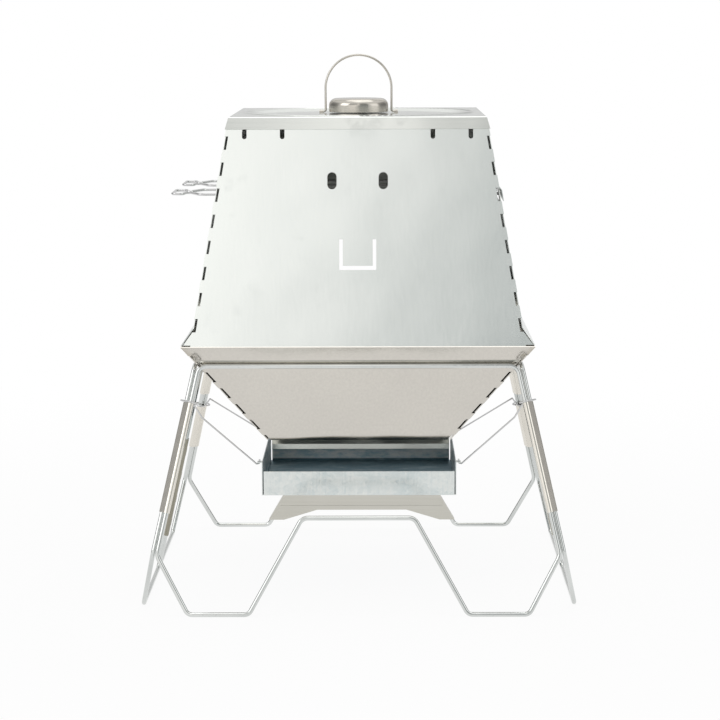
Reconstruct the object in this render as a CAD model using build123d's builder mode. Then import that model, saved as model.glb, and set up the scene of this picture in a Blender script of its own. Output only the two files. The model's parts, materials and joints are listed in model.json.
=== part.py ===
"""Portable fire pit: folding wire stand, four-panel bowl, four-panel hood, cover and ash tray.

Millimetres, +Z up. The origin is on the ground under the middle of the stand, and the front
of the fire pit faces -Y. The sides are numbered by their turn about Z: front 0, right 90,
back 180 and left 270 degrees.
"""
import os
from math import sqrt

from build123d import *

# Stand: four leaning wire frames, alike on all sides
frame_wire = 5.0
foot_half = 230.0
lean = 0.2236
frame_rise = 255.0
leg_inset = 4.76
knee_rise = 60.2
foot_corner = 51.0
foot_inner = 115.0
arch_half = 59.0
arch_rise = 98.5
half_frame_gap = 6.73
top_bend = 10.0
knee_bend = 14.0
foot_bend = 8.0
arch_bend = 10.0

# Hinge sleeves, pressed from sheet round two neighbouring wires
sleeve_sheet = 0.8
wire_play = 0.06
corner_sleeve_rise = 104.0
sleeve_top_drop = 38.0
mid_sleeve_rise = 37.0
mid_sleeve_top = 148.0
window_top_drop = 46.0
window_height = 15.0
loose_play = 2.3

# Heat plate on the rear frame
shield_sheet = 0.8
shield_top = 100.0
shield_foot_rise = 8.0
shield_foot_half = 96.0
shield_step_rise = 21.0
shield_step_half = 55.0
shield_lip = 4.0
crease_rise = 27.0
crease_width = 1.0
crease_depth = 0.3

# Bowl: inverted pyramid; fingers of the side panels pass through notches of the other two
bowl_sheet = 1.0
bowl_bottom_half = 100.0
bowl_slope = 0.76
bowl_rim_rise = 21.8
bowl_recess = 1.9
bowl_finger = 10.4
bowl_finger_pitch = 19.4
bowl_finger_first = 14.5
bowl_finger_gap = 0.75
bowl_notch = 3.6
bar_clearance = 0.15

# Grate inside the bowl
grate_sheet = 2.0
grate_rise = 24.0
grate_slot_length = 46.0
grate_slot_width = 7.0
grate_rows = 10
grate_columns = 3
grate_end_margin = 0.4
grate_side_margin = 1.0

# Hood: truncated pyramid, interlocked like the bowl. The front and rear panels dip into the
# bowl, and their ears close the corners at the foot.
hood_sheet = 0.8
hood_inset = 9.5
hood_slope = -0.1687
hood_recess = 1.4
hood_finger = 13.4
hood_finger_pitch = 27.2
hood_finger_first = 14.0
hood_notch = 3.2
finger_proud = 0.5
finger_gap = 0.3
ear_rise = 13.0
ear_foot = 8.0
ear_play = 0.6
hood_dip = 4.0
flare_rise = 18.2
flare_overhang = 0.5
flare_inset = 2.6
bend_lap = 0.6
seat_gap = 0.25
vent_spacing = 54.2
vent_width = 9.8
vent_height = 18.0
vent_rise = 171.5
top_slot_inset = 18.0
top_slot_spacing = 40.1
top_slot_width = 4.9
top_slot_drop = 13.8
tongue_half = 19.5
tongue_height = 32.5
tongue_rise = 78.3
tongue_slit = 3.7
tongue_foot_slit = 4.5
window_half = 60.0
window_low = 36.0
window_high = 112.0
window_corner = 6.0
louvre_half = 50.0
louvre_rise = 147.0
louvre_height = 18.0
louvre_bend = 6.0
louvre_out = 4.0

# Rack wires that cross the hood and end in looped handles
rack_wire = 3.0
rack_spacing = 73.0
rack_rise = 154.8
rack_play = 0.3
rack_tip = 1.5
rack_straight = 20.0
rack_neck = 34.0
rack_neck_half = 2.4
rack_eye_back = 38.0
rack_eye_half = 28.0
rack_reach = 51.0
rack_bend = 8.0
rack_neck_bend = 2.5
rack_back_bend = 4.0
rack_eye_bend = 5.0

# Cover with a pressed round recess and a low bead round it
cover_sheet = 0.8
skirt_play = 0.8
skirt_taper = 3.7
skirt_drop = 12.9
skirt_rise = 225.4
recess_border = 11.8
recess_depth = 2.8
plateau_depth = 0.8
plateau_radius = 60.0
cover_bend = 1.6
recess_wall = 6.0
bead_radius = 1.4
bead_sink = 0.5
vent_hole = 9.0
vent_hole_circle = 17.0
vent_hole_count = 6

# Vent cap and its rivet
cap_radius = 33.0
cap_height = 14.9
cap_wall = 0.8
cap_shoulder = 8.0
cap_lift = 1.3
rivet_radius = 3.0
rivet_play = 0.06
rivet_head = 6.0
rivet_head_height = 1.6

# Bail and its clips
bail_wire = 2.4
bail_half = 36.6
bail_height = 65.0
bail_axis = 1.5
bail_bend = 2.5
bail_crown = 0.06
bail_end = 7.0
clip_sheet = 0.8
clip_width = 4.0
clip_play = 0.08
clip_tab = 6.0

# Ash tray and the four wires that carry it
tray_sheet = 0.8
tray_overhang = 6.2
tray_floor = 105.5
tray_wall = 26.3
tray_side_wall = 36.3
tray_corner_gap = 1.2
ear_reach = 5.0
ear_width = 10.0
ear_inset = 2.2
ear_hole = 1.6
ear_hole_out = 2.7
hanger_wire = 1.8
hook_tip = 2.5
hook_bend = 1.5
hook_out = 4.8
loop_play = 1.9
loop_bend = 3.0
loop_entry_bend = 1.6
loop_gap = 2.8
front_knot_in = 18.0
front_knot_rise = -13.0
rear_knot_in = 6.0
rear_knot_rise = 12.0

wire_r = frame_wire / 2
slant = sqrt(1 + lean**2)
foot_outer = foot_half - foot_corner
corner_sleeve_top = frame_rise - sleeve_top_drop
window_top = corner_sleeve_top - window_top_drop
window_rise = window_top - window_height
FRONT, RIGHT, BACK, LEFT = 0, 90, 180, 270


def spread(rise):
    """Distance of a frame's plane from the middle, at a height above its foot wires."""
    return foot_half - lean * rise


def leaning_plane(turn, half, height, slope):
    """Plane of a leaning side, seen from outside; slope is its change of half width per rise."""
    outward = Vector(0, -1, 0).rotate(Axis.Z, turn)
    across = Vector(1, 0, 0).rotate(Axis.Z, turn)
    origin = outward * half + Vector(0, 0, height)
    return Plane(origin=origin, x_dir=across, z_dir=outward - Vector(0, 0, slope))


def frame_plane(turn):
    return leaning_plane(turn, foot_half, wire_r, -lean)


os.makedirs("parts", exist_ok=True)


def save(part, label):
    part.label = label
    export_step(part, f"parts/{label}.step")


def bent_wire(path_plane, points, bends, radius, closed):
    """Round wire along a polyline with rounded corners."""
    with BuildPart() as wire:
        with BuildLine(path_plane) as path:
            FilletPolyline(*points, radius=bends, close=closed)
        with BuildSketch(Plane(origin=path.line @ 0, z_dir=path.line % 0)):
            Circle(radius)
        sweep(path=path.line)
    return wire.part


def sleeve_tube(origin, axis, pair, pitch, low, high, loose):
    """Sheet sleeve round two parallel wires, from one height to another."""
    steepness = axis.length
    outer_r = wire_r + wire_play + sleeve_sheet
    with BuildPart() as tube:
        with BuildSketch(Plane(origin=origin + axis * low, x_dir=pair, z_dir=axis)):
            with Locations((-pitch / 2, 0)):
                Circle(outer_r)
            with Locations((pitch / 2, 0)):
                Circle(outer_r + loose)
            make_hull()
        extrude(amount=(high - low) * steepness)
        with BuildSketch(Plane(origin=origin + axis * low, x_dir=pair, z_dir=axis)):
            with Locations((-pitch / 2, 0)):
                Circle(outer_r - sleeve_sheet)
            with Locations((pitch / 2, 0)):
                Circle(outer_r - sleeve_sheet + loose)
            make_hull()
        extrude(amount=(high - low) * steepness, mode=Mode.SUBTRACT)
    return tube.part


# Front and rear frames: one closed loop of wire each
leg_top = spread(frame_rise) - leg_inset
leg_knee = spread(knee_rise) - leg_inset
half_outline = [
    (leg_top, frame_rise, top_bend),
    (leg_knee, knee_rise, knee_bend),
    (foot_outer, 0, foot_bend),
    (foot_inner, 0, foot_bend),
    (arch_half, arch_rise, arch_bend),
]
frame_outline = [(-x, rise * slant) for x, rise, bend in half_outline]
frame_outline += [(x, rise * slant) for x, rise, bend in reversed(half_outline)]
frame_bends = [bend for x, rise, bend in half_outline]
frame_bends += list(reversed(frame_bends))

for turn, label in ((FRONT, "front_frame"), (BACK, "rear_frame")):
    save(bent_wire(frame_plane(turn), frame_outline, frame_bends, wire_r, True), label)

# Side frames: two closed half loops each, hinged together in the middle
mid_leg = half_frame_gap / 2
half_frame = [
    (leg_top, frame_rise, top_bend),
    (leg_knee, knee_rise, knee_bend),
    (foot_outer, 0, foot_bend),
    (mid_leg, 0, foot_bend),
    (mid_leg, frame_rise, top_bend),
]
half_frames = (
    (RIGHT, -1, "right_front_half_frame"),
    (RIGHT, 1, "right_rear_half_frame"),
    (LEFT, 1, "left_front_half_frame"),
    (LEFT, -1, "left_rear_half_frame"),
)
for turn, hand, label in half_frames:
    points = [(hand * x, rise * slant) for x, rise, bend in half_frame]
    bends = [bend for x, rise, bend in half_frame]
    save(bent_wire(frame_plane(turn), points, bends, wire_r, True), label)

# Corner sleeves: the rear ones have a window, in which a tray wire hooks round the legs
corner_pitch = leg_inset * sqrt(2)
corners = {
    "front_left": (-1, -1),
    "front_right": (1, -1),
    "rear_left": (-1, 1),
    "rear_right": (1, 1),
}


def corner_pair(side_x, side_y):
    """Foot of the line between a corner's two legs, its direction and that across the legs."""
    middle = foot_half - leg_inset / 2
    origin = Vector(side_x * middle, side_y * middle, wire_r)
    axis = Vector(-side_x * lean, -side_y * lean, 1)
    return origin, axis, Vector(side_x, -side_y, 0)


for corner, (side_x, side_y) in corners.items():
    origin, axis, pair = corner_pair(side_x, side_y)
    loose = loose_play if corner == "rear_right" else 0
    spans = [(corner_sleeve_rise, corner_sleeve_top, "sleeve")]
    if side_y > 0:
        spans = [
            (corner_sleeve_rise, window_rise, "lower_sleeve"),
            (window_top, corner_sleeve_top, "upper_sleeve"),
        ]
    for low, high, kind in spans:
        save(sleeve_tube(origin, axis, pair, corner_pitch, low, high, loose), f"{corner}_{kind}")

# Middle sleeves, which join the two halves of a side frame
for side_x, label in ((-1, "left_mid_sleeve"), (1, "right_mid_sleeve")):
    origin = Vector(side_x * foot_half, 0, wire_r)
    axis = Vector(-side_x * lean, 0, 1)
    tube = sleeve_tube(origin, axis, Vector(0, 1, 0), half_frame_gap, mid_sleeve_rise, mid_sleeve_top, 0)
    save(tube, label)

# Heat shield: sheet on the inside of the rear frame's arch, with lips along its diagonals
shield_back = wire_r + wire_play
arch_lean = (foot_inner - arch_half) / arch_rise


def arch_at(rise):
    return foot_inner - arch_lean * rise


lip_offset = shield_back * sqrt(1 + (arch_lean / slant) ** 2)
shield_outline = [
    (arch_at(shield_top) + lip_offset, shield_top),
    (arch_at(shield_foot_rise) + lip_offset, shield_foot_rise),
    (shield_foot_half, shield_foot_rise),
    (shield_step_half, shield_step_rise),
]
with BuildPart() as heat_shield:
    with BuildSketch(frame_plane(BACK).offset(-shield_back)):
        points = [(x, rise * slant) for x, rise in shield_outline]
        Polygon(*points, *[(-x, y) for x, y in reversed(points)], align=None)
    extrude(amount=-shield_sheet)
    for hand in (-1, 1):
        with BuildSketch(frame_plane(BACK).offset(-shield_back - shield_sheet)):
            low = (hand * (arch_at(shield_foot_rise) + lip_offset), shield_foot_rise * slant)
            high = (hand * (arch_at(shield_top) + lip_offset), shield_top * slant)
            wide = hand * shield_sheet
            Polygon(low, high, (high[0] + wide, high[1]), (low[0] + wide, low[1]), align=None)
        extrude(amount=shield_sheet + shield_lip)
    with BuildSketch(frame_plane(BACK).offset(-shield_back - shield_sheet)):
        with Locations((0, crease_rise * slant)):
            Rectangle(2 * arch_at(crease_rise), crease_width)
    extrude(amount=crease_depth, mode=Mode.SUBTRACT)
save(heat_shield.part, "rear_heat_shield")

# Bowl: it rests with its outer faces on the stand's four top bars
top_bar_height = wire_r + frame_rise
bowl_slant = sqrt(1 + bowl_slope**2)
seat_half = spread(frame_rise) - (wire_r + bar_clearance) * bowl_slant
seat_rise = (seat_half - bowl_bottom_half) / bowl_slope
bowl_bottom = top_bar_height - seat_rise
bowl_depth = seat_rise + bowl_rim_rise
bowl_rim = bowl_bottom + bowl_depth + bowl_sheet * bowl_slope / bowl_slant
bowl_rim_half = bowl_bottom_half + bowl_slope * bowl_depth


def panel_points(half, slope, edge):
    """Outline of a panel whose right edge is a list of (rise, offset from the corner line)."""
    steep = sqrt(1 + slope**2)
    right = []
    for rise, offset in edge:
        point = (half + slope * rise + offset, rise * steep)
        if not right or Vector(*point) != Vector(*right[-1]):
            right.append(point)
    return right + [(-x, y) for x, y in reversed(right)]


def finger_edge(low, high, fingers, proud, inset):
    """Stepped edge: proud of the corner line along each finger, and set back between them."""
    edge = [(low, -inset)]
    for start, end in fingers:
        start = max(start, low)
        edge += [(start, -inset), (start, proud), (end, proud), (end, -inset)]
    edge.append((high, -inset))
    return edge


def notch_edge(low, high, fingers, proud, inset, gap):
    """The counterpart of finger_edge, set back where the other panel's fingers pass."""
    edge = [(low, proud)]
    for start, end in fingers:
        start = max(start - gap, low)
        end += gap
        edge += [(start, proud), (start, -inset), (end, -inset), (end, proud)]
    edge.append((high, proud))
    return edge


def finger_rows(first, pitch, length, top):
    """Start and end rises of the fingers that fit below a height."""
    count = int((top - first - length) / pitch) + 1
    starts = [first + step * pitch for step in range(count)]
    return [(start, start + length) for start in starts]


first_start = bowl_finger_first - bowl_finger_pitch
bowl_fingers = finger_rows(first_start, bowl_finger_pitch, bowl_finger, bowl_depth - bowl_finger_gap)
notched_edge = notch_edge(0, bowl_depth, bowl_fingers, finger_proud, bowl_notch, bowl_finger_gap)
fingered_edge = finger_edge(0, bowl_depth, bowl_fingers, finger_proud, bowl_recess)
bowl_sides = (
    (FRONT, notched_edge, "bowl_front_panel"),
    (RIGHT, fingered_edge, "bowl_right_panel"),
    (BACK, notched_edge, "bowl_rear_panel"),
    (LEFT, fingered_edge, "bowl_left_panel"),
)
for turn, edge, label in bowl_sides:
    with BuildPart() as bowl_panel:
        with BuildSketch(leaning_plane(turn, bowl_bottom_half, bowl_bottom, bowl_slope)):
            Polygon(*panel_points(bowl_bottom_half, bowl_slope, edge), align=None)
        extrude(amount=-bowl_sheet)
    save(bowl_panel.part, label)

# Slotted grate, wedged between the bowl's panels
grate_height = bowl_bottom + grate_rise
grate_half = bowl_bottom_half + bowl_slope * grate_rise - bowl_sheet * bowl_slant - seat_gap
slot_pitch_x = 2 * grate_half / (grate_columns + grate_end_margin)
slot_pitch_y = 2 * grate_half / (grate_rows + grate_side_margin)
with BuildPart() as fire_grate:
    with BuildSketch(Plane.XY.offset(grate_height)):
        Rectangle(2 * grate_half, 2 * grate_half)
        with GridLocations(slot_pitch_x, slot_pitch_y, grate_columns, grate_rows):
            SlotOverall(grate_slot_length, grate_slot_width, mode=Mode.SUBTRACT)
    extrude(amount=grate_sheet)
save(fire_grate.part, "fire_grate")

# Cover and hood: the cover's slanted skirt is wedged over the hood's top edge
hood_slant = sqrt(1 + hood_slope**2)
hood_base = bowl_rim + seat_gap
hood_base_half = bowl_rim_half - hood_inset
skirt_slope = -skirt_taper / skirt_drop
skirt_bottom = hood_base + skirt_rise
skirt_inner_half = hood_base_half + hood_slope * skirt_rise + skirt_play
skirt_half = skirt_inner_half + cover_sheet * sqrt(1 + skirt_slope**2)
cover_half = skirt_half - skirt_taper
recess_radius = cover_half - recess_border
hood_height = skirt_rise + (skirt_play - seat_gap / 2) / (hood_slope - skirt_slope)
cover_top = skirt_bottom + skirt_drop
recess_floor = cover_top - plateau_depth

with BuildPart() as cover:
    for height, half in ((skirt_bottom, skirt_half), (cover_top, cover_half)):
        with BuildSketch(Plane.XY.offset(height)):
            Rectangle(2 * half, 2 * half)
    loft(ruled=True)
    fillet(cover.faces().sort_by(Axis.Z)[-1].edges(), cover_bend)
    ceiling = cover_top - cover_sheet
    ceiling_half = skirt_inner_half + skirt_slope * (ceiling - skirt_bottom)
    for height, half in ((skirt_bottom, skirt_inner_half), (ceiling, ceiling_half)):
        with BuildSketch(Plane.XY.offset(height)):
            Rectangle(2 * half, 2 * half)
    loft(ruled=True, mode=Mode.SUBTRACT)
    dish = [
        (0, recess_floor),
        (plateau_radius, recess_floor),
        (recess_radius - recess_wall, cover_top - recess_depth),
        (recess_radius, cover_top),
    ]
    with BuildSketch(Plane.XZ):
        outside = [(0, recess_floor - cover_sheet)]
        outside += [(x + cover_sheet, z - cover_sheet) for x, z in dish[1:]]
        Polygon(*outside, (recess_radius, cover_top), (0, cover_top), align=None)
    revolve(axis=Axis.Z)
    with BuildSketch(Plane.XZ):
        Polygon(*dish, (0, cover_top), align=None)
    revolve(axis=Axis.Z, mode=Mode.SUBTRACT)
    with BuildSketch(Plane.XZ):
        with Locations((recess_radius + bead_radius, cover_top - bead_sink)):
            Circle(bead_radius)
        with Locations((recess_radius + bead_radius, ceiling)):
            Rectangle(2 * bead_radius, bead_radius, align=(Align.CENTER, Align.MAX), mode=Mode.SUBTRACT)
    revolve(axis=Axis.Z)
    with BuildSketch(Plane.XY.offset(recess_floor - cover_sheet)):
        Circle(rivet_radius)
        with PolarLocations(vent_hole_circle, vent_hole_count):
            Circle(vent_hole / 2)
    extrude(amount=cover_sheet, mode=Mode.SUBTRACT)
save(cover.part, "cover")

# Hood panels
collar = skirt_rise - finger_gap
hood_fingers = finger_rows(hood_finger_first, hood_finger_pitch, hood_finger, collar - finger_gap)
top_slot_outer = hood_base_half + hood_slope * hood_height - top_slot_inset


def hood_plane(turn):
    return leaning_plane(turn, hood_base_half, hood_base, hood_slope)


for turn, label in ((FRONT, "hood_front_panel"), (BACK, "hood_rear_panel")):
    edge = notch_edge(ear_rise, collar, hood_fingers, ear_play, hood_notch, finger_gap)
    edge = [(-hood_dip, 0), (0, 0), (0, ear_foot), *edge, (collar, -seat_gap), (hood_height, -seat_gap)]
    with BuildPart() as hood_panel:
        with BuildSketch(hood_plane(turn)):
            Polygon(*panel_points(hood_base_half, hood_slope, edge), align=None)
            top_slots = (top_slot_outer, top_slot_outer - top_slot_spacing)
            with Locations(*[(hand * x, hood_height * hood_slant) for x in top_slots for hand in (-1, 1)]):
                SlotCenterToCenter(2 * top_slot_drop, top_slot_width, rotation=90, mode=Mode.SUBTRACT)
            if turn == FRONT:
                vents = [(hand * vent_spacing / 2, vent_rise * hood_slant) for hand in (-1, 1)]
                with Locations(*vents):
                    SlotOverall(vent_height, vent_width, rotation=90, mode=Mode.SUBTRACT)
                slit_bottom = tongue_rise * hood_slant
                with Locations((0, slit_bottom)):
                    Rectangle(2 * tongue_half, tongue_foot_slit, align=(Align.CENTER, Align.MIN),
                              mode=Mode.SUBTRACT)
                for hand in (-1, 1):
                    with Locations((hand * (tongue_half - tongue_slit / 2), slit_bottom)):
                        Rectangle(tongue_slit, tongue_height, align=(Align.CENTER, Align.MIN),
                                  mode=Mode.SUBTRACT)
            else:
                with Locations((0, (window_low + window_high) / 2 * hood_slant)):
                    RectangleRounded(2 * window_half, (window_high - window_low) * hood_slant,
                                     window_corner, mode=Mode.SUBTRACT)
        extrude(amount=-hood_sheet)
    save(hood_panel.part, label)

# Side panels flare at the foot, to stand on the rims of the bowl's side panels
flare_foot_half = bowl_rim_half + flare_overhang
flare_top_half = hood_base_half + hood_slope * flare_rise
flare_slope = (flare_top_half - flare_foot_half) / flare_rise
flare_steep = sqrt(1 + flare_slope**2)
rack_height = hood_base + rack_rise
prong_rows = [(pair + side / 2) * rack_spacing for pair in (-1, 1) for side in (-1, 1)]
rack_rows = (-rack_spacing, rack_spacing)
for turn, label in ((RIGHT, "hood_right_panel"), (LEFT, "hood_left_panel")):
    edge = finger_edge(flare_rise - bend_lap, hood_height, hood_fingers, finger_proud, hood_recess)
    with BuildPart() as hood_panel:
        with BuildSketch(hood_plane(turn)):
            Polygon(*panel_points(hood_base_half, hood_slope, edge), align=None)
            if turn == RIGHT:
                with Locations(*[(row, louvre_rise * hood_slant) for row in rack_rows]):
                    Rectangle(2 * louvre_half, louvre_height, align=(Align.CENTER, Align.MIN),
                              mode=Mode.SUBTRACT)
        extrude(amount=-hood_sheet)
        with BuildSketch(leaning_plane(turn, flare_foot_half, hood_base, flare_slope)):
            low_y = -hood_sheet * flare_slope
            low_x = flare_foot_half + flare_slope * low_y / flare_steep - flare_inset
            high_y = flare_rise * flare_steep + bend_lap
            high_x = flare_foot_half + flare_slope * high_y / flare_steep - flare_inset
            Polygon((-low_x, low_y), (low_x, low_y), (high_x, high_y), (-high_x, high_y), align=None)
        extrude(amount=-hood_sheet)
        if turn == RIGHT:
            panel = hood_plane(turn)
            low_y = louvre_rise * hood_slant
            high_y = low_y + louvre_height
            bend_y = high_y - louvre_bend
            for row in rack_rows:
                edge_point = panel.origin + panel.x_dir * (row - louvre_half)
                with BuildSketch(Plane(origin=edge_point, x_dir=panel.y_dir, z_dir=panel.x_dir)):
                    Polygon((high_y, -hood_sheet), (high_y, 0), (bend_y, louvre_out), (low_y, louvre_out),
                            (low_y, louvre_out - hood_sheet), (bend_y, louvre_out - hood_sheet), align=None)
                extrude(amount=2 * louvre_half)
        else:
            with BuildSketch(Plane.YZ):
                with Locations(*[(row, rack_height) for row in prong_rows]):
                    Circle(rack_wire / 2 + rack_play)
            extrude(amount=-foot_half, mode=Mode.SUBTRACT)
    save(hood_panel.part, label)

# Rack wires: each crosses the hood twice and ends in a looped handle outside its left panel
panel_half = hood_base_half + hood_slope * rack_rise
handle = [
    (rack_straight, rack_spacing / 2, rack_bend),
    (rack_neck, rack_neck_half, rack_neck_bend),
    (rack_eye_back, rack_eye_half, rack_back_bend),
    (rack_reach - rack_wire / 2, rack_eye_half, rack_eye_bend),
]
for row, label in zip(rack_rows, ("front_rack_wire", "rear_rack_wire")):
    prong = (panel_half + rack_tip, rack_spacing / 2)
    outline = [prong] + [(-panel_half - out, half) for out, half, bend in handle]
    points = [(x, row - half) for x, half in outline]
    points += [(x, row + half) for x, half in reversed(outline)]
    bends = [bend for out, half, bend in handle]
    bends += list(reversed(bends))
    save(bent_wire(Plane.XY.offset(rack_height), points, bends, rack_wire / 2, False), label)

# Vent cap: a spun dome on a rivet, held just clear of the cover
cap_bottom = recess_floor + cap_lift
with BuildPart() as vent_cap:
    with BuildSketch(Plane.XY.offset(cap_bottom)):
        Circle(cap_radius)
    extrude(amount=cap_height)
    fillet(vent_cap.edges().sort_by(Axis.Z)[-1], cap_shoulder)
    offset(amount=-cap_wall, openings=vent_cap.faces().sort_by(Axis.Z)[0])
    with BuildSketch(Plane.XY.offset(cap_bottom)):
        Circle(rivet_head)
        Circle(rivet_radius + rivet_play, mode=Mode.SUBTRACT)
    extrude(amount=cap_height - cap_wall)
save(vent_cap.part, "vent_cap")

with BuildPart() as cap_rivet:
    with BuildSketch(Plane.XY.offset(recess_floor - cover_sheet)):
        Circle(rivet_radius - rivet_play)
    extrude(amount=cap_bottom + cap_height - cap_wall - seat_gap - recess_floor + cover_sheet)
    with BuildSketch(Plane.XY.offset(recess_floor - cover_sheet)):
        Circle(rivet_head)
    extrude(amount=-rivet_head_height)
    with BuildSketch(Plane.XY.offset(recess_floor)):
        Circle(rivet_head)
    extrude(amount=cap_lift - seat_gap)
save(cap_rivet.part, "cap_rivet")

# Bail: wire hoop that folds down on either side of the cap, its ends held by two clips
axis_height = recess_floor + bail_axis
hoop = [
    (-bail_half - bail_end, 0),
    (-bail_half, 0),
    (-bail_half, bail_height - bail_axis - bail_wire / 2),
]
hoop += [(-x, z) for x, z in reversed(hoop)]
hoop_bends = [bail_bend, bail_half - bail_crown, bail_half - bail_crown, bail_bend]
bail_plane = Plane(origin=(0, 0, axis_height), x_dir=(1, 0, 0), z_dir=(0, -1, 0))
save(bent_wire(bail_plane, hoop, hoop_bends, bail_wire / 2, False), "bail")

clip_inner = bail_wire / 2 + clip_play
clip_outer = clip_inner + clip_sheet
for hand, label in ((-1, "left_bail_clip"), (1, "right_bail_clip")):
    start = hand * (bail_half + bail_end - clip_width / 2)
    with BuildPart() as bail_clip:
        with BuildSketch(Plane.YZ.offset(start - clip_width / 2)):
            with Locations((0, axis_height)):
                Circle(clip_outer)
            with Locations((0, recess_floor)):
                Rectangle(2 * clip_outer, bail_axis, align=(Align.CENTER, Align.MIN))
                Rectangle(2 * (clip_outer + clip_tab), clip_sheet, align=(Align.CENTER, Align.MIN))
                Rectangle(2 * clip_inner, bail_axis, align=(Align.CENTER, Align.MIN),
                          mode=Mode.SUBTRACT)
            with Locations((0, axis_height)):
                Circle(clip_inner, mode=Mode.SUBTRACT)
            with Locations((0, recess_floor)):
                Rectangle(2 * clip_outer, 2 * clip_outer, align=(Align.CENTER, Align.MAX),
                          mode=Mode.SUBTRACT)
        extrude(amount=clip_width)
    save(bail_clip.part, label)

# Ash tray: folded sheet with open corners and four ears on its taller side walls
tray_half = bowl_bottom_half + tray_overhang
ear_height = tray_floor + tray_side_wall
ear_row = tray_half - ear_inset - ear_width / 2
with BuildPart() as ash_tray:
    with BuildSketch(Plane.XY.offset(tray_floor)):
        Rectangle(2 * tray_half, 2 * tray_half)
    extrude(amount=tray_sheet)
    wall_length = 2 * (tray_half - tray_sheet - tray_corner_gap)
    with BuildSketch(Plane.XY.offset(tray_floor)):
        with Locations((0, -tray_half), (0, tray_half - tray_sheet)):
            Rectangle(wall_length, tray_sheet, align=(Align.CENTER, Align.MIN))
    extrude(amount=tray_wall)
    with BuildSketch(Plane.XY.offset(tray_floor)):
        with Locations((-tray_half, 0), (tray_half - tray_sheet, 0)):
            Rectangle(tray_sheet, 2 * tray_half, align=(Align.MIN, Align.CENTER))
    extrude(amount=tray_side_wall)
    with BuildSketch(Plane.XY.offset(ear_height - tray_sheet)):
        ear_middle = tray_half - tray_sheet + (ear_reach + tray_sheet) / 2
        with GridLocations(2 * ear_middle, 2 * ear_row, 2, 2):
            Rectangle(ear_reach + tray_sheet, ear_width)
        with GridLocations(2 * (tray_half + ear_hole_out), 2 * ear_row, 2, 2):
            Circle(ear_hole, mode=Mode.SUBTRACT)
    extrude(amount=tray_sheet)
save(ash_tray.part, "ash_tray")

# Tray hangers: a loose loop round a corner's legs, a knot off the legs, a straight stem and a
# hook under the tray's ear
hanger_r = hanger_wire / 2
loop_half = wire_r + loop_play + hanger_r
for corner, (side_x, side_y) in corners.items():
    origin, axis, pair = corner_pair(side_x, side_y)
    along = axis.normalized()
    across = pair.normalized()
    outward = Vector(side_x, side_y, 0).normalized()
    outward = (outward - along * outward.dot(along)).normalized()
    seat_rise = window_rise if side_y > 0 else corner_sleeve_top
    knot_in = rear_knot_in if side_y > 0 else front_knot_in
    knot_rise = rear_knot_rise if side_y > 0 else front_knot_rise
    middle = origin + axis * seat_rise + along * (hanger_r + seat_gap)
    inner, outer = outward * -loop_half, outward * loop_half
    wide = across * (corner_pitch / 2 + loop_half)
    tip = Vector(side_x * (tray_half + ear_hole_out), side_y * ear_row, ear_height + hook_tip)
    under = Vector(tip.X, tip.Y, ear_height - tray_sheet - seat_gap - hanger_r)
    level = Vector(middle.X - under.X, middle.Y - under.Y, 0).normalized()
    points = [
        tip,
        under,
        under + level * hook_out,
        middle + inner - outward * knot_in + along * knot_rise,
        middle + inner,
        middle + inner + wide,
        middle + outer + wide,
        middle + outer - wide,
        middle + inner - wide,
        middle + inner - across * loop_gap,
    ]
    bends = [hook_bend, hook_bend, loop_entry_bend, loop_entry_bend, *[loop_bend] * 4]
    save(bent_wire(Plane.XY, points, bends, hanger_r, False), f"{corner}_tray_hanger")
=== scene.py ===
"""Looks of the portable fire pit: sheet steel hood and bowl, plated wire stand, galvanised tray."""
import json
import math

import bmesh
import bpy
import numpy as np
from mathutils import Matrix, Vector


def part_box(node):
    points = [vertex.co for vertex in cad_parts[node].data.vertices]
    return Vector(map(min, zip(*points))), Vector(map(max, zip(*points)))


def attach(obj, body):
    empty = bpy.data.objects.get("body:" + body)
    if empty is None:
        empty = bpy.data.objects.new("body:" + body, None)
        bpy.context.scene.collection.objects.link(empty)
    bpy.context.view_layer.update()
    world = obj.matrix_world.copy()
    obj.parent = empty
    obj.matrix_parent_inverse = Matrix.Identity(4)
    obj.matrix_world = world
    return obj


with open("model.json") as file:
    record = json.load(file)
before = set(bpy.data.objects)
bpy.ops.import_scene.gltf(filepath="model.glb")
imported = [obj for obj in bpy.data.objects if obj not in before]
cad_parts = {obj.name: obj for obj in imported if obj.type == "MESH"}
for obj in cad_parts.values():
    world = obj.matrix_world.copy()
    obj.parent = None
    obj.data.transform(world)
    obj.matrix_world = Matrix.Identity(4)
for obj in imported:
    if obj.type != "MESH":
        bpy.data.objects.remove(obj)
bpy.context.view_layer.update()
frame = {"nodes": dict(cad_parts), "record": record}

nodes = frame["nodes"]


class Channel:
    """A number that varies over a surface; arithmetic on it adds Math nodes."""

    def __init__(self, finish, socket):
        self.finish = finish
        self.socket = socket

    def worked(self, operation, *others, swapped=False):
        values = [self, *others]
        if swapped:
            values.reverse()
        node = self.finish.add("ShaderNodeMath", {"operation": operation}, dict(enumerate(values)))
        return Channel(self.finish, node.outputs[0])

    def __add__(self, other):
        return self.worked("ADD", other)

    __radd__ = __add__

    def __mul__(self, other):
        return self.worked("MULTIPLY", other)

    __rmul__ = __mul__

    def __sub__(self, other):
        return self.worked("SUBTRACT", other)

    def __rsub__(self, other):
        return self.worked("SUBTRACT", other, swapped=True)

    def __pow__(self, other):
        return self.worked("POWER", other)

    def size(self):
        return self.worked("ABSOLUTE")

    def between(self, low, high):
        """0 below low, 1 above high, and a smooth step from one to the other."""
        node = self.finish.add(
            "ShaderNodeMapRange",
            {"interpolation_type": "SMOOTHSTEP"},
            {"Value": self, "From Min": low, "From Max": high},
        )
        return Channel(self.finish, node.outputs[0])

    def eased(self):
        """The number held within 0 to 1, with a smooth step between them."""
        return self.between(0.0, 1.0)


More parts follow.
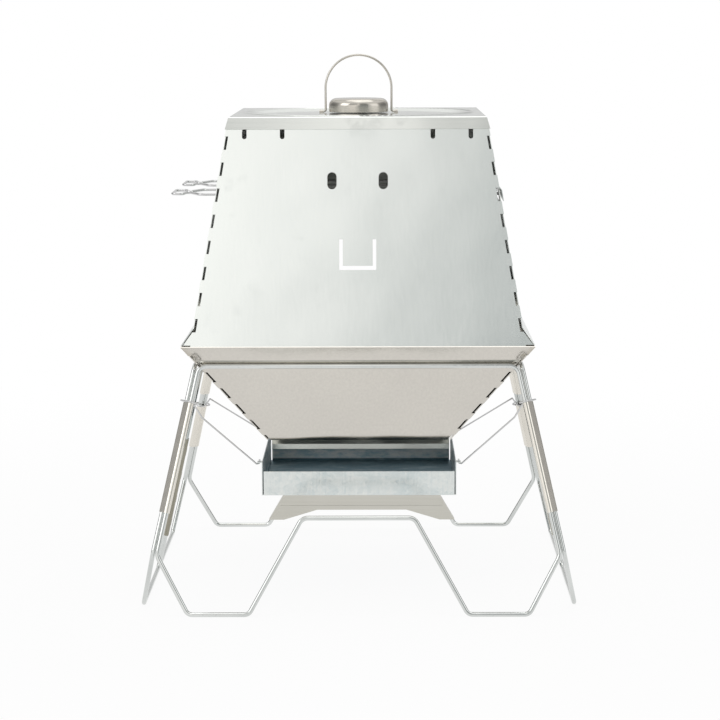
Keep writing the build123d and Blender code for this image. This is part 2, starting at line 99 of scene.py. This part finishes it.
class Finish:
    """A node tree under construction, with the object's own coordinates ready to use."""

    def __init__(self, tree, coordinates="Object"):
        self.tree = tree
        self.tree.nodes.clear()
        self.place = self.add("ShaderNodeTexCoord").outputs[coordinates]
        axes = self.add("ShaderNodeSeparateXYZ", {}, {0: self.place}).outputs
        self.x, self.y, self.z = (Channel(self, axis) for axis in axes)

    def add(self, kind, settings=None, sockets=None):
        """A node: its settings are set first, then the values or links of its sockets."""
        node = self.tree.nodes.new(kind)
        for key, value in (settings or {}).items():
            setattr(node, key, value)
        for key, value in (sockets or {}).items():
            if isinstance(value, Channel):
                value = value.socket
            if isinstance(value, bpy.types.NodeSocket):
                self.tree.links.new(value, node.inputs[key])
            else:
                node.inputs[key].default_value = value
        return node

    def radius(self):
        """Distance from the Z axis."""
        return (self.x * self.x + self.y * self.y) ** 0.5

    def stretched(self, stretch):
        """The coordinates, multiplied along each axis."""
        return self.add("ShaderNodeMapping", {}, {"Vector": self.place, "Scale": stretch}).outputs[0]

    def clouds(self, stretch, detail=3.0, roughness=0.5):
        """Noise about 0, from about -0.25 to 0.25, with so many features per metre along each axis."""
        node = self.add(
            "ShaderNodeTexNoise",
            {},
            {"Vector": self.stretched(stretch), "Scale": 1.0, "Detail": detail, "Roughness": roughness},
        )
        return Channel(self, node.outputs[0]) - 0.5

    def crystals(self, per_metre):
        """Two random numbers from 0 to 1 that stay the same within each cell of a Voronoi pattern."""
        cells = self.add("ShaderNodeTexVoronoi", {}, {"Vector": self.place, "Scale": per_metre})
        shades = self.add("ShaderNodeSeparateColor", {}, {0: cells.outputs["Color"]}).outputs
        return Channel(self, shades[0]), Channel(self, shades[1])

    def blend(self, factor, first, second):
        """Colour first where the factor is 0, second where it is 1."""
        node = self.add("ShaderNodeMix", {"data_type": "RGBA"}, {0: factor, 6: first, 7: second})
        return node.outputs[2]

    def relief(self, height, distance, strength=1.0, below=None):
        """Bump from a height, over the normal of the relief below it."""
        sockets = {"Height": height, "Distance": distance, "Strength": strength}
        if below is not None:
            sockets["Normal"] = below
        return self.add("ShaderNodeBump", {}, sockets).outputs[0]


def colour(red, green, blue):
    """Colour from 0..255 display values, as linear light."""
    values = np.array([red, green, blue]) / 255
    linear = np.where(values <= 0.04045, values / 12.92, ((values + 0.055) / 1.055) ** 2.4)
    return (*linear.tolist(), 1.0)


def material(name, paint, **steady):
    """A Principled material; paint adds what varies, steady holds the values that don't."""
    made = bpy.data.materials.new(name)
    made.use_nodes = True
    finish = Finish(made.node_tree)
    shader = finish.add("ShaderNodeBsdfPrincipled", {}, steady)
    finish.add("ShaderNodeOutputMaterial", {}, {"Surface": shader.outputs[0]})
    for socket, value in paint(finish).items():
        if isinstance(value, Channel):
            value = value.socket
        finish.tree.links.new(value, shader.inputs[socket])
    return made


LINES_PER_METRE = 2600.0


def brushed(light, dark, along, gloss, waves=0.0008, streaks=0.06):
    """Rolled and brushed sheet: fine lines along one axis, soft clouds and a slight waviness."""

    def paint(finish):
        fine = [LINES_PER_METRE] * 3
        wide = [LINES_PER_METRE / 6] * 3
        fine[along] = LINES_PER_METRE / 130
        wide[along] = LINES_PER_METRE / 500
        line = finish.clouds(fine, 2.0)
        band = finish.clouds(wide, 3.0)
        cloud = finish.clouds((7, 7, 7), 3.0)
        smudge = finish.clouds((26, 26, 26), 4.0, 0.6).between(0.07, 0.2)
        tone = 0.5 + cloud * 0.9 + band * 0.7 + line * 0.5
        buckle = finish.clouds((11, 11, 11), 1.0)
        flat = finish.relief(buckle, waves)
        return {
            "Base Color": finish.blend(tone.eased(), dark, light),
            "Roughness": gloss + line * streaks + band * streaks + smudge * 0.05 + cloud * 0.08,
            "Normal": finish.relief(line, 0.00002, 0.3, flat),
        }

    return paint


def plated(light, dark, gloss):
    """Bright plated wire: drawn lines are gone, only faint ripples and dull specks are left."""

    def paint(finish):
        ripple = finish.clouds((90, 90, 90), 3.0)
        speck = finish.clouds((420, 420, 420), 2.0).between(0.12, 0.24)
        cloud = finish.clouds((14, 14, 14), 3.0)
        tone = 0.5 + cloud * 1.6 - speck * 0.5
        return {
            "Base Color": finish.blend(tone.eased(), dark, light),
            "Roughness": gloss + speck * 0.15 + ripple * 0.10 + cloud * 0.06,
            "Normal": finish.relief(ripple, 0.0004, 0.25),
        }

    return paint


tray_low, tray_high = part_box("ash_tray")
WALL_SKIN = (tray_high.y - 0.0006, tray_high.y - 0.0002)
FLOOR_EDGE = (tray_low.z + 0.0020, tray_low.z + 0.0040)
# Pale blue-white tones of the painted reflection on the tray's inner walls
PAINTED_REFLECTION_DARK, PAINTED_REFLECTION_LIGHT = colour(176, 208, 218), colour(246, 252, 252)


def galvanised(light, dark, shaded_floor_tone, gloss):
    """Hot-dip zinc: crystals, each its own shade, with fine runs; the inner walls carry a painted
    reflection, pale blue-white and blotchy, and the inside floor is painted dark teal in patches as
    painted shade.

    Inside is where both |x| and |y| are less than the walls' outer skin, and the floor is the part
    of the inside below its edge.
    """

    def paint(finish):
        tone, sheen = finish.crystals(190.0)
        chip, _ = finish.crystals(520.0)
        run = finish.clouds((700, 700, 16), 3.0)
        cloud = finish.clouds((16, 16, 16), 4.0, 0.6)
        mixed = 0.6 + (tone - 0.5) * 0.26 + (chip - 0.5) * 0.18 + run * 0.6 + cloud
        within_x = 1 - finish.x.size().between(*WALL_SKIN)
        within_y = 1 - finish.y.size().between(*WALL_SKIN)
        inside = within_x * within_y
        floor = inside * (1 - finish.z.between(*FLOOR_EDGE))
        # Painted shade: the inside floor is painted dark teal in patches, standing for the shade under
        # the bowl
        shade_patch = (0.92 + finish.clouds((34, 90, 34), 4.0, 0.6) * 1.2).eased()
        # Painted reflection: the inner walls blend two pale blue-white tones in blotches and are nearly
        # matt, so the lamps show them as a bright reflected band
        reflection_mottle = (0.6 + finish.clouds((60, 60, 150), 4.0, 0.65) * 2.4).eased()
        painted_reflection = finish.blend(reflection_mottle, PAINTED_REFLECTION_DARK, PAINTED_REFLECTION_LIGHT)
        walls = finish.blend(mixed.eased(), dark, light)
        walls = finish.blend(inside, walls, painted_reflection)
        return {
            "Base Color": finish.blend(floor * shade_patch, walls, shaded_floor_tone),
            "Metallic": 1 - inside * (1 - floor) * 0.85,
            "Roughness": gloss + inside * 0.25 + (sheen - 0.5) * 0.08 + run * 0.12 + cloud * 0.10,
            "Normal": finish.relief(tone * 0.5 + chip * 0.3 + run, 0.00008, 0.3),
        }

    return paint


RINGS_PER_METRE = 1900.0


def spun(light, dark, gloss):
    """Sheet spun on a lathe: fine rings round the Z axis, on which the cap and its rivet stand."""

    def paint(finish):
        radius = finish.radius()
        drawn = finish.add("ShaderNodeCombineXYZ", {}, {0: radius, 1: finish.z})
        rings = finish.add(
            "ShaderNodeTexNoise",
            {},
            {"Vector": drawn.outputs[0], "Scale": RINGS_PER_METRE, "Detail": 3.0},
        )
        ring = Channel(finish, rings.outputs[0]) - 0.5
        cloud = finish.clouds((45, 45, 45), 3.0)
        return {
            "Base Color": finish.blend((0.5 + ring * 1.3 + cloud).eased(), dark, light),
            "Roughness": gloss + ring * 0.16 + cloud * 0.08,
            "Normal": finish.relief(ring, 0.00006, 0.5),
        }

    return paint


hood_steel = material(
    "brushed_hood_steel", brushed(colour(238, 241, 238), colour(229, 233, 230), 2, 0.20), Metallic=1.0
)
cover_steel = material(
    "satin_cover_steel", brushed(colour(230, 232, 228), colour(218, 221, 217), 0, 0.17), Metallic=1.0
)
# Painted reflection: the bowl's warm beige tint stands for the floor reflected in it; the steel is the
# same as the hood's
bowl_steel = material(
    "bowl_steel_painted_warm_reflection",
    brushed(colour(213, 209, 201), colour(201, 197, 190), 2, 0.10, waves=0.0020, streaks=0.03),
    Metallic=1.0,
)
shield_steel = material(
    "matt_shield_steel", brushed(colour(206, 204, 196), colour(192, 190, 181), 0, 0.30), Metallic=1.0
)
sleeve_steel = material(
    "satin_sleeve_steel", brushed(colour(232, 228, 219), colour(214, 210, 201), 2, 0.20), Metallic=1.0
)
# Painted shade: the middle sleeves are the sleeves' steel with a darker olive colour, for the shade they
# sit in between the wires
shaded_mid_sleeve_steel = material(
    "shaded_middle_sleeve_steel",
    brushed(colour(168, 164, 150), colour(138, 135, 122), 2, 0.24),
    Metallic=1.0,
)
grate_steel = material(
    "grey_grate_steel", brushed(colour(178, 176, 172), colour(156, 154, 150), 0, 0.38), Metallic=1.0
)
wire_plating = material(
    "bright_wire_plating", plated(colour(218, 220, 218), colour(198, 201, 199), 0.09), Metallic=1.0
)
thin_wire = material(
    "bright_thin_wire", plated(colour(208, 208, 208), colour(190, 190, 190), 0.14), Metallic=1.0
)
bail_steel = material(
    "satin_bail_wire", plated(colour(206, 202, 194), colour(188, 184, 176), 0.24), Metallic=1.0
)
# The third colour is the painted shade of the tray's inside floor
zinc = material(
    "galvanised_tray",
    galvanised(colour(222, 225, 222), colour(196, 206, 207), colour(86, 116, 128), 0.19),
)
hem_zinc = material(
    "galvanised_hem", brushed(colour(228, 229, 222), colour(198, 203, 199), 0, 0.18), Metallic=1.0
)
cap_steel = material(
    "spun_cap_steel", spun(colour(204, 199, 190), colour(178, 174, 166), 0.16), Metallic=1.0
)
rivet_steel = material(
    "rivet_steel", spun(colour(190, 188, 184), colour(168, 166, 162), 0.30), Metallic=1.0
)

finishes = {
    hood_steel: ["hood_front_panel", "hood_right_panel", "hood_rear_panel", "hood_left_panel"],
    cover_steel: ["cover"],
    bowl_steel: ["bowl_front_panel", "bowl_right_panel", "bowl_rear_panel", "bowl_left_panel"],
    shield_steel: ["rear_heat_shield"],
    sleeve_steel: [
        "front_left_sleeve", "front_right_sleeve", "rear_left_lower_sleeve",
        "rear_left_upper_sleeve", "rear_right_lower_sleeve", "rear_right_upper_sleeve",
    ],
    shaded_mid_sleeve_steel: ["left_mid_sleeve", "right_mid_sleeve"],
    grate_steel: ["fire_grate"],
    wire_plating: [
        "front_frame", "rear_frame", "left_front_half_frame", "left_rear_half_frame",
        "right_front_half_frame", "right_rear_half_frame",
    ],
    thin_wire: [
        "front_rack_wire", "rear_rack_wire", "front_left_tray_hanger", "front_right_tray_hanger",
        "rear_left_tray_hanger", "rear_right_tray_hanger",
    ],
    bail_steel: ["bail", "left_bail_clip", "right_bail_clip"],
    zinc: ["ash_tray"],
    cap_steel: ["vent_cap"],
    rivet_steel: ["cap_rivet"],
}
for finish, names in finishes.items():
    for name in names:
        mesh = nodes[name].data
        mesh.materials.clear()
        mesh.materials.append(finish)


def rings_mesh(name, stacks, finish, body):
    """One mesh from stacks of closed rings, arrays of (ring, point, xyz) in metres.

    Point k of a ring joins point k of the next ring; the first and last rings are closed.
    """
    points, faces, start = [], [], 0
    for stack in stacks:
        count, around = stack.shape[:2]
        index = start + np.arange(count * around).reshape(count, around)
        beside = np.roll(index, -1, axis=1)
        quads = np.stack([index[:-1], beside[:-1], beside[1:], index[1:]], axis=-1)
        faces += quads.reshape(-1, 4).tolist()
        faces += [index[0, ::-1].tolist(), index[-1].tolist()]
        points.append(stack.reshape(-1, 3))
        start += count * around
    mesh = bpy.data.meshes.new(name)
    mesh.from_pydata(np.concatenate(points).tolist(), [], faces)
    work = bmesh.new()
    work.from_mesh(mesh)
    bmesh.ops.recalc_face_normals(work, faces=work.faces)
    work.to_mesh(mesh)
    work.free()
    mesh.materials.append(finish)
    made = bpy.data.objects.new(name, mesh)
    bpy.context.scene.collection.objects.link(made)
    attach(made, body)


# Tray: the tops of the front and rear walls are folded inwards, steeper below a shoulder
TRAY_SHEET, TRAY_WALL, CORNER_GAP = 0.0008, 0.0263, 0.0012
HEM_RISE, HEM_DROP, HEM_SHEET, HEM_STEPS = 0.0002, 0.0118, 0.0005, 24
HEM_SHOULDER, UPPER_SLOPE, LOWER_SLOPE = 0.5, 0.45, 0.14


def hem(side):
    """Closed profile along the wall, for t from 0 at its top to 1 at its foot.

    The drop is HEM_DROP t. The depth grows by UPPER_SLOPE of the drop down to the shoulder, and by
    LOWER_SLOPE of it below. The profile comes back up one sheet nearer to the wall.
    """
    t = np.linspace(0, 1, HEM_STEPS)
    upper, lower = np.minimum(t, HEM_SHOULDER), np.maximum(t - HEM_SHOULDER, 0)
    depth = HEM_DROP * (UPPER_SLOPE * upper + LOWER_SLOPE * lower)
    inner = tray_high.y - TRAY_SHEET
    top = tray_low.z + TRAY_WALL + HEM_RISE
    y = side * (inner - np.concatenate([depth, depth[::-1] - HEM_SHEET]))
    z = top - HEM_DROP * np.concatenate([t, t[::-1]])
    half = inner - CORNER_GAP
    x = np.array([-half, half])
    ring = np.stack([np.zeros_like(y), y, z], axis=-1)
    return ring[None] + x[:, None, None] * np.array([1.0, 0.0, 0.0])


rings_mesh("tray_hems", [hem(-1), hem(1)], hem_zinc, "tray")

# Middle sleeves: oval marks where the sheet was pressed in between the two wires
FOOT_HALF, LEAN, WIRE_RADIUS, SLEEVE_OUT = 0.230, 0.2236, 0.0025, 0.00336
MARK_RISES = (0.052, 0.079, 0.106, 0.133)
MARK_LONG, MARK_LONG_LIP = 0.0036, 0.0007
MARK_SHORT, MARK_SHORT_LIP = 0.0012, 0.0005
MARK_HEIGHT, MARK_SUNK, MARK_POINTS, MARK_RINGS = 0.00028, 0.00005, 24, 7


def pressed_mark(side, face, rise):
    """Oval lip on a sleeve: radii shrink as cos v and the height follows sin v, 0 to a half turn."""
    steep = math.hypot(LEAN, 1)
    along = np.array([-side * LEAN, 0, 1]) / steep
    out = face * np.array([side, 0, LEAN]) / steep
    across = np.array([0.0, 1.0, 0.0])
    centre = np.array([side * (FOOT_HALF - LEAN * rise), 0, WIRE_RADIUS + rise])
    centre = centre + out * (SLEEVE_OUT - MARK_SUNK)
    turn = np.linspace(0, 2 * np.pi, MARK_POINTS, endpoint=False)[None, :, None]
    v = np.linspace(0, np.pi, MARK_RINGS)[:, None, None]
    long_radius = MARK_LONG + MARK_LONG_LIP * np.cos(v)
    short_radius = MARK_SHORT + MARK_SHORT_LIP * np.cos(v)
    oval = along * long_radius * np.cos(turn) + across * short_radius * np.sin(turn)
    return centre + oval + out * MARK_HEIGHT * np.sin(v)


owners = frame["record"]["behaviour"]["bodies"]
for sleeve, side in (("left_mid_sleeve", -1), ("right_mid_sleeve", 1)):
    body = next(name for name, members in owners.items() if sleeve in members)
    marks = [pressed_mark(side, face, rise) for face in (-1, 1) for rise in MARK_RISES]
    rings_mesh(f"{sleeve}_marks", marks, shaded_mid_sleeve_steel, body)

# Camera: fitted to the photograph
EYE = (0.02484, -2.71354, 0.61774)
LENS_MM, SENSOR_MM = 121.41, 36.0
pitch, roll, yaw = 0.1383727, -0.0035514, -0.0089555
camera_data = bpy.data.cameras.new("camera")
camera_data.lens = LENS_MM
camera_data.sensor_width = SENSOR_MM
camera = bpy.data.objects.new("camera", camera_data)
bpy.context.scene.collection.objects.link(camera)
right = Vector((math.cos(yaw), -math.sin(yaw), 0))
forward = Vector((math.sin(yaw), math.cos(yaw), 0)) * math.cos(pitch) - Vector((0, 0, math.sin(pitch)))
upward = right.cross(forward)
across = math.cos(roll) * right + math.sin(roll) * upward
above = math.cos(roll) * upward - math.sin(roll) * right
aimed = Matrix((across, above, -forward)).transposed().to_4x4()
camera.matrix_world = Matrix.Translation(EYE) @ aimed
bpy.context.scene.camera = camera
bpy.context.scene.view_settings.view_transform = "Standard"

LIT_POINT = (0.0, 0.0, 0.3)


def lamp(name, place, side, level):
    """A square soft box of a given brightness, so many times that of white paper."""
    data = bpy.data.lights.new(name, "AREA")
    data.shape = "SQUARE"
    data.size = side
    data.energy = level * math.pi * side * side
    made = bpy.data.objects.new(name, data)
    bpy.context.scene.collection.objects.link(made)
    aim = Vector(LIT_POINT) - Vector(place)
    made.matrix_world = Matrix.Translation(place) @ aim.to_track_quat("-Z", "Y").to_matrix().to_4x4()


lamp("left_soft_box", (-3.6, -2.2, 2.4), 2.6, 1.5)
lamp("top_soft_box", (0.3, 0.2, 4.2), 3.2, 1.0)
lamp("right_fill", (3.8, -1.6, 1.6), 2.4, 0.5)

WHITE = (1.0, 1.0, 1.0, 1.0)


def seen_rays(finish):
    """1 for camera, glossy and transmission rays and 0 for the rest, and 1 for glossy rays alone."""
    path = finish.add("ShaderNodeLightPath").outputs
    glossy = Channel(finish, path["Is Glossy Ray"])
    seen = Channel(finish, path["Is Camera Ray"]) + glossy
    seen = (seen + Channel(finish, path["Is Transmission Ray"])).worked("MINIMUM", 1.0)
    return seen, glossy


# World: white behind the object, with two dark flags beside the backdrop that only gloss shows
UNSEEN_LEVEL = 0.5
world = bpy.data.worlds.new("studio")
world.use_nodes = True
bpy.context.scene.world = world
room = Finish(world.node_tree, "Generated")
seen, glossy = seen_rays(room)
flags = room.x.size().between(0.50, 0.75) * room.y.between(-0.25, 0.1)
flags = flags * (1 - room.z.between(0.35, 0.7))
dusk = room.y.between(0.0, 0.4) * (1 - room.z.between(0.2, 0.5))
gloss_level = (1 - flags * 0.6) * (1 - dusk * 0.3)
strength = seen * (1 - glossy * (1 - gloss_level)) + (1 - seen) * UNSEEN_LEVEL
background = room.add("ShaderNodeBackground", {}, {"Color": WHITE, "Strength": strength})
room.add("ShaderNodeOutputWorld", {}, {"Surface": background.outputs[0]})


def rectangle(name, corners, paint_material):
    """A flat rectangle from four corners, in order."""
    mesh = bpy.data.meshes.new(name)
    mesh.from_pydata(corners, [], [(0, 1, 2, 3)])
    mesh.materials.append(paint_material)
    made = bpy.data.objects.new(name, mesh)
    bpy.context.scene.collection.objects.link(made)
    return made


def shown_white(name, share):
    """Matt white that camera and reflections see as even white by a share, and wholly far away."""
    made = bpy.data.materials.new(name)
    made.use_nodes = True
    finish = Finish(made.node_tree)
    matt = finish.add("ShaderNodeBsdfDiffuse", {}, {"Color": WHITE})
    even = finish.add("ShaderNodeEmission", {}, {"Color": WHITE, "Strength": 1.0})
    seen, _ = seen_rays(finish)
    away = finish.radius().between(0.35, 1.5)
    even_share = seen * (share + away * (1 - share))
    mixed = finish.add("ShaderNodeMixShader", {}, {0: even_share, 1: matt.outputs[0], 2: even.outputs[0]})
    finish.add("ShaderNodeOutputMaterial", {}, {"Surface": mixed.outputs[0]})
    return made


FLOOR_HALF = 9
floor_white = shown_white("floor_white", 0.93)
floor_corners = [(-1, -1), (1, -1), (1, 1), (-1, 1)]
rectangle("floor", [(x * FLOOR_HALF, y * FLOOR_HALF, 0) for x, y in floor_corners], floor_white)

# Card behind the camera, seen only in gloss: white on its left, cooler grey on its right and high up
CARD_HALF, CARD_BACK, CARD_LOW, CARD_HIGH = 3, -3.6, 0.05, 4
LEFT_TONE, RIGHT_TONE = (1.28, 1.26, 1.24, 1.0), (0.42, 0.445, 0.45, 1.0)
HIGH_TONE, HIGH_RIGHT_TONE = (0.45, 0.46, 0.46, 1.0), (0.30, 0.31, 0.31, 1.0)
card_material = bpy.data.materials.new("room_card")
card_material.use_nodes = True
card_finish = Finish(card_material.node_tree)
fade = (card_finish.x + (1.3 - card_finish.z) * 0.45).between(-0.6, 0.8)
high = card_finish.z.between(1.5, 2.1)
beside = high * card_finish.x.size().between(0.05, 0.5)
right_of = high * card_finish.x.between(0.05, 0.45)
card_tone = card_finish.blend(fade, LEFT_TONE, RIGHT_TONE)
card_tone = card_finish.blend(beside * 0.8, card_tone, HIGH_TONE)
card_tone = card_finish.blend(right_of * 0.6, card_tone, HIGH_RIGHT_TONE)
card_light = card_finish.add("ShaderNodeEmission", {}, {"Color": card_tone})
card_finish.add("ShaderNodeOutputMaterial", {}, {"Surface": card_light.outputs[0]})
card_corners = [(-1, CARD_LOW), (1, CARD_LOW), (1, CARD_HIGH), (-1, CARD_HIGH)]
card = rectangle("room_card", [(x * CARD_HALF, CARD_BACK, z) for x, z in card_corners], card_material)
card.visible_camera = False
card.visible_diffuse = False
card.visible_shadow = False
